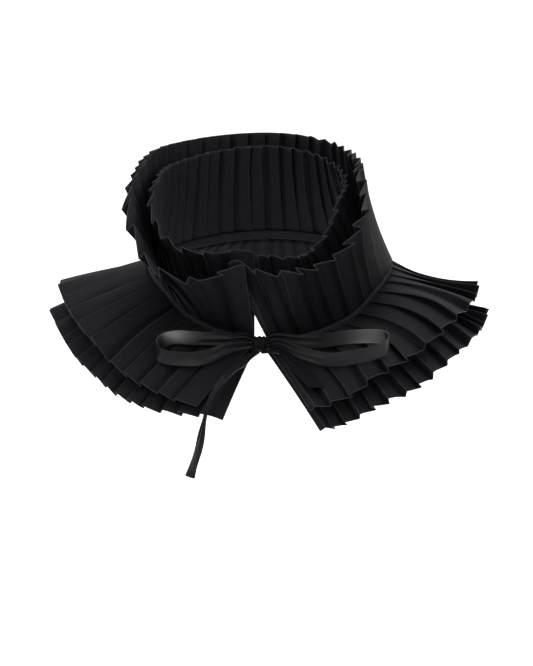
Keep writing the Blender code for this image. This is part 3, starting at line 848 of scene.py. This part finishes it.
# The ribbon's small waves, how high and how long they are. Then how slowly its folds drift, and how far
# from the end its cut slants.
WAVE_HEIGHT = 0.25
WAVE_RUN = 5.5
DRIFT_RUN = 9.0
CUT_RUN = 12.0
STEPS_PER_POINT = 14
KNOT_CENTRE = np.array([-6.3, -70.6, -20.4])
KNOT_HALF_SIZE = np.array([5.2, 4.0, 4.9])
OnLayer = namedtuple("OnLayer", "layer angle reach lift share roll")
FromKnot = namedtuple("FromKnot", "x y z share roll")
LEFT_LOOP = [
    FromKnot(-4.8, -0.6, 2.8, 0.4, 0),
    FromKnot(-10, -2.4, 4.8, 0.6, 0),
    OnLayer("upper_cape", -164, 0.17, 5.4, 0.9, 0),
    OnLayer("upper_cape", -154, 0.29, 5.4, 1, 0),
    OnLayer("upper_cape", -147, 0.40, 5.4, 1, 0),
    OnLayer("upper_cape", -144, 0.52, 5.4, 1, 0),
    OnLayer("upper_cape", -145, 0.63, 5.4, 1, 0),
    OnLayer("upper_cape", -149, 0.69, 5.4, 1, 0),
    OnLayer("upper_cape", -156, 0.63, 5.4, 1, 0),
    OnLayer("upper_cape", -164, 0.51, 5.6, 1, 0),
    FromKnot(-18, -14.4, 1.0, 0.85, 0),
    FromKnot(-4.9, -3.2, 0.3, 0.5, 0),
]
RIGHT_LOOP = [
    FromKnot(4.8, -0.6, 2.8, 0.4, 0),
    FromKnot(10, -2.4, 4.8, 0.6, 0),
    OnLayer("upper_cape", 169, 0.17, 5.4, 0.9, 0),
    OnLayer("upper_cape", 162, 0.30, 5.4, 1, 0),
    OnLayer("upper_cape", 154, 0.46, 5.4, 1, 0),
    OnLayer("upper_cape", 148, 0.62, 5.4, 1, 0),
    OnLayer("upper_cape", 145, 0.74, 5.4, 1, 0),
    OnLayer("upper_cape", 146, 0.84, 5.4, 1, 0),
    OnLayer("upper_cape", 150, 0.86, 5.4, 1, 0),
    OnLayer("upper_cape", 157, 0.76, 5.4, 1, 0),
    OnLayer("upper_cape", 165, 0.60, 6.2, 1, 0),
    OnLayer("upper_cape", 172, 0.40, 8.6, 0.85, 0),
    FromKnot(12.5, -11, 3.0, 0.6, 0),
    FromKnot(4.9, -3.0, -0.4, 0.5, 0),
]
LEFT_TAIL = [
    FromKnot(-1.2, -3.8, -4.4, 0.4, 0),
    FromKnot(-7.5, -13, -6.4, 0.75, 0),
    FromKnot(-12.5, -23, -7.7, 1, 0),
    FromKnot(-17.5, -34, -9.5, 1, 14),
    FromKnot(-22.5, -45, -13.4, 1, 34),
    FromKnot(-27.2, -55, -18.4, 0.95, 54),
    FromKnot(-30.5, -63, -25.3, 0.95, 66),
    FromKnot(-32.2, -66.5, -32.2, 0.95, 70),
    FromKnot(-33.4, -66, -39.3, 0.95, 68),
    FromKnot(-35.8, -62, -49.6, 1, 66),
    FromKnot(-38.9, -58, -60.8, 1, 64),
    FromKnot(-42, -54, -71, 1, 60),
]
RIGHT_TAIL = [
    FromKnot(1.4, -4.2, -4.0, 0.3, 0),
    OnLayer("upper_cape", 180, 0.24, 3.6, 0.55, 0),
    OnLayer("upper_cape", 178, 0.42, 2.6, 0.9, 0),
    OnLayer("upper_cape", 176, 0.62, 2.6, 1, 0),
    OnLayer("upper_cape", 174.5, 0.84, 2.6, 1, 0),
]
DOWNWARDS = np.array([0.0, -0.1, -1.0])
SIDEWAYS = np.array([1.0, 0.0, 0.0])
# Shine is how much glossier a ribbon is where it catches the light, place is where that is and spread
# how far it reaches, as shares of its length: in a loop before the turn, in the left tail near the knot.
Ribbon = namedtuple("Ribbon", "name node route widthways end_cut is_tail shine place spread")
RIBBONS = [
    Ribbon("bow_loop_left", "ribbon_loop_left", LEFT_LOOP, DOWNWARDS, 0.0, False, 0.9, 0.38, 0.075),
    Ribbon("bow_loop_right", "ribbon_loop_right", RIGHT_LOOP, DOWNWARDS, 0.0, False, 0.9, 0.40, 0.07),
    Ribbon("bow_tail_left", "ribbon_tail_left", LEFT_TAIL, SIDEWAYS, 4.5, True, 0.22, 0.22, 0.2),
    Ribbon("bow_tail_right", "ribbon_tail_right", RIGHT_TAIL, SIDEWAYS, -3.5, True, 0.0, 0.5, 0.2),
]


def route_values(row):
    """A route row's place, share of the width and roll."""
    if isinstance(row, FromKnot):
        return np.array([*(KNOT_CENTRE + np.array([row.x, row.y, row.z])), row.share, row.roll])
    layer = next(layer for layer in LAYERS if layer.name == row.layer)
    deepest = smooth(layer.sections, "depth", row.angle)
    depth = SEAM_DEPTH + (deepest - SEAM_DEPTH) * row.reach**OPENING
    folds = depth * (1 + DEPTH_VARIATION) + 0.5
    normal = unit(true_normal(layer, row.angle, row.reach))
    place = layer_point(layer, row.angle, row.reach) + (folds + row.lift) * normal
    return np.array([*place, row.share, row.roll])


def true_normal(layer, angle, reach):
    turn, step = 0.5, 0.02
    onward = layer_point(layer, angle + turn, reach) - layer_point(layer, angle - turn, reach)
    along = layer_point(layer, angle, reach + step) - layer_point(layer, angle, reach - step)
    return np.cross(onward, along)


def route_curve(route):
    """Values along a smooth curve through every row of a route."""
    known = [route_values(row) for row in route]
    known = [2 * known[0] - known[1], *known, 2 * known[-1] - known[-2]]
    curve = []
    for k in range(1, len(known) - 2):
        before, start, end, after = known[k - 1 : k + 3]
        for step in range(STEPS_PER_POINT):
            t = step / STEPS_PER_POINT
            straight = 2 * start + (end - before) * t
            bend = (2 * before - 5 * start + 4 * end - after) * t * t
            sway = (3 * start - before - 3 * end + after) * t**3
            curve.append((straight + bend + sway) / 2)
    curve.append(known[-2])
    return np.array(curve)


def ribbon_surface(ribbon):
    """A ribbon's middle points, its UV in millimetres and its length."""
    curve = route_curve(ribbon.route)
    middle = curve[:, :3]
    tangent = unit(np.gradient(middle, axis=0))
    across = ribbon.widthways - (tangent @ ribbon.widthways)[:, None] * tangent
    across = unit(across)
    roll = np.radians(curve[:, 4])[:, None]
    across = np.cos(roll) * across + np.sin(roll) * np.cross(tangent, across)
    normal = np.cross(tangent, across)
    share = np.clip(curve[:, 3], LEAST_SHARE, 1.0)[:, None]
    place = np.linspace(-0.5, 0.5, RIBBON_COLUMNS + 1)[None, :]
    fold = RIBBON_WIDTH / RIBBON_FOLDS * np.sqrt(np.maximum(0, 1 - share**2)) / 2
    run = np.concatenate([[0.0], np.cumsum(np.linalg.norm(np.diff(middle, axis=0), axis=-1))])
    wave = np.cos(RIBBON_FOLDS * math.pi * (place + 0.5) + 0.5 * np.sin(run / DRIFT_RUN)[:, None])
    bow = RIBBON_BOW * (1 - (2 * place) ** 2) * share
    side = place * RIBBON_WIDTH * share
    lift = fold * wave + bow + WAVE_HEIGHT * np.sin(run / WAVE_RUN + 1.0)[:, None] * place * 2
    points = middle[:, None] + side[..., None] * across[:, None] + lift[..., None] * normal[:, None]
    if ribbon.end_cut:
        reach = np.clip((run - run[-1] + CUT_RUN) / CUT_RUN, 0, 1)[:, None]
        slide = -abs(ribbon.end_cut) * (0.5 + np.sign(ribbon.end_cut) * place) * reach
        points = points + slide[..., None] * tangent[:, None]
    uv = np.stack(np.broadcast_arrays((place + 0.5) * RIBBON_WIDTH, run[:, None]), axis=-1)
    return points, uv, run[-1]


def build_ribbons(face, back):
    for ribbon in RIBBONS:
        points, uv, length = ribbon_surface(ribbon)
        satin = back if ribbon.is_tail else face
        shine = ribbon.shine * np.exp(-(((uv[..., 1] / length - ribbon.place) / ribbon.spread) ** 2))
        piece = shell_mesh(ribbon.name, points, RIBBON_THICKNESS, satin, uv, shine)
        place_piece(piece, [ribbon.node])
        length = float(length) * MM
        print(ribbon.name, "length", round(length, 4))


# Knot: the ribbon's own width, wound once round the throats of the loops. It is a little fuller than
# its solid, so that it closes over them.
KNOT_RINGS = 56
KNOT_SIDES = 72
KNOT_RIDGES = 4
KNOT_FULLNESS = 1.06
KNOT_ROUNDING = 0.35
RIDGE_HEIGHT = 0.075
RIDGE_FADE = 0.3
PINCH_DEPTH = 0.10
PINCH_WIDTH = 0.25
KNOT_LEAN = 0.16
# How deep the satin's black is and how glossy it is. The loops show its face and the tails its dull
# back, and in the knot it is wound tight and lies in shade, which is painted in as a deeper black.
SATIN_DEPTH = 0.0050
SATIN_GLOSS = 0.11
BACK_DEPTH = 0.0048
BACK_GLOSS = 0.015
KNOT_SHADED_DEPTH = 0.0028
KNOT_GLOSS = 0.04


def build_knot(satin):
    """The knot: a short ridged roll, pinched on one side, with its ends in the loops' throats."""
    tilt = np.linspace(-math.pi / 2, math.pi / 2, KNOT_RINGS)[:, None]
    turn = np.linspace(0, 2 * math.pi, KNOT_SIDES, endpoint=False)[None, :]
    width = np.sin(tilt) * np.ones_like(turn)
    belly = np.cos(tilt) ** KNOT_ROUNDING
    ridges = np.cos(KNOT_RIDGES * math.pi * width + 0.9 * np.sin(turn) + 0.4)
    ridge = 1 + RIDGE_HEIGHT * ridges * np.cos(tilt) ** RIDGE_FADE
    pinch = 1 - PINCH_DEPTH * np.exp(-((np.sin(turn / 2 - 0.6) / PINCH_WIDTH) ** 2)) * np.cos(tilt)
    radius = belly * ridge * pinch * KNOT_FULLNESS
    lean = KNOT_LEAN * np.sin(turn)
    x = KNOT_HALF_SIZE[0] * KNOT_FULLNESS * (width + lean * np.cos(tilt) * 0.5)
    y = KNOT_HALF_SIZE[1] * radius * np.cos(turn)
    z = KNOT_HALF_SIZE[2] * radius * np.sin(turn)
    points = stack(x, y, z).reshape(-1, 3) + KNOT_CENTRE
    faces = []
    for k in range(KNOT_RINGS - 1):
        for s in range(KNOT_SIDES):
            t = (s + 1) % KNOT_SIDES
            a = k * KNOT_SIDES
            faces.append((a + s, a + t, a + KNOT_SIDES + t, a + KNOT_SIDES + s))
    faces.append(tuple(range(KNOT_SIDES))[::-1])
    faces.append(tuple((KNOT_RINGS - 1) * KNOT_SIDES + s for s in range(KNOT_SIDES)))
    knot = make_mesh("bow_knot", points, faces, satin)
    loops = np.zeros(len(knot.data.loops), dtype=int)
    knot.data.loops.foreach_get("vertex_index", loops)
    uv = np.stack(np.broadcast_arrays((width + 1) * 5.0, turn * 4.5), axis=-1).reshape(-1, 2)
    layer = knot.data.uv_layers.new(name="cloth")
    layer.uv.foreach_set("vector", uv[loops].ravel())
    place_piece(knot, ["ribbon_knot"])


# Stage: a pale floor well under the ribbon's tail, and soft studio light.
FLOOR_HEIGHT = -0.2
FLOOR_SIZE = 40.0
Lamp = namedtuple("Lamp", "name place size power")
LAMPS = [
    Lamp("key", (-0.9, -1.5, 1.3), 1.1, 22),
    Lamp("fill", (1.3, -1.2, 0.7), 1.3, 11),
    Lamp("top", (0.0, 0.3, 1.6), 1.4, 14),
    Lamp("rim_left", (-1.4, 0.8, 0.7), 0.9, 9),
    Lamp("rim_right", (1.4, 0.8, 0.7), 0.9, 9),
]


def build_stage():
    mesh = bpy.data.meshes.new("floor")
    half = FLOOR_SIZE / 2
    corners = [(-half, -half), (half, -half), (half, half), (-half, half)]
    mesh.from_pydata([(x, y, FLOOR_HEIGHT) for x, y in corners], [], [(0, 1, 2, 3)])
    floor = bpy.data.objects.new("floor", mesh)
    bpy.context.scene.collection.objects.link(floor)
    material, _, _, _ = new_material("floor", (0.92, 0.92, 0.92), 0.9)
    mesh.materials.append(material)
    for lamp in LAMPS:
        light = bpy.data.lights.new(lamp.name, "AREA")
        light.size = lamp.size
        light.energy = lamp.power
        source = bpy.data.objects.new(lamp.name, light)
        source.location = lamp.place
        aim = AIM_POINT - Vector(lamp.place)
        source.rotation_mode = "QUATERNION"
        source.rotation_quaternion = aim.to_track_quat("-Z", "Y")
        bpy.context.scene.collection.objects.link(source)
    world = bpy.data.worlds.new("studio")
    world.use_nodes = True
    background = world.node_tree.nodes["Background"]
    background.inputs["Color"].default_value = (1, 1, 1, 1)
    background.inputs["Strength"].default_value = 1.1
    bpy.context.scene.world = world
    bpy.context.scene.view_settings.view_transform = "Standard"


def build_camera():
    data = bpy.data.cameras.new("camera")
    data.sensor_width = SENSOR_MM
    focal_px = SCALE_PX_PER_M * CAMERA_DISTANCE
    data.lens = SENSOR_MM * focal_px / FRAME_HEIGHT_PX
    data.clip_start = 0.05
    data.clip_end = 100
    camera = bpy.data.objects.new("camera", data)
    back = Vector((0.0, -math.cos(CAMERA_ELEVATION), math.sin(CAMERA_ELEVATION)))
    camera.location = AIM_POINT + back * CAMERA_DISTANCE
    camera.rotation_mode = "QUATERNION"
    camera.rotation_quaternion = (-back).to_track_quat("-Z", "Y")
    bpy.context.scene.collection.objects.link(camera)
    bpy.context.scene.camera = camera


build_camera()
build_stage()
chiffon = chiffon_material()
build_layers(chiffon, hem_material())
build_casing(casing_material(), thread_material())
satin_face = satin_material("satin_ribbon", SATIN_DEPTH, SATIN_GLOSS)
build_ribbons(satin_face, satin_material("satin_back", BACK_DEPTH, BACK_GLOSS))
# The knot's satin is a darker copy of the ribbon's, with its shade painted in.
build_knot(satin_material("satin_knot_shaded", KNOT_SHADED_DEPTH, KNOT_GLOSS))
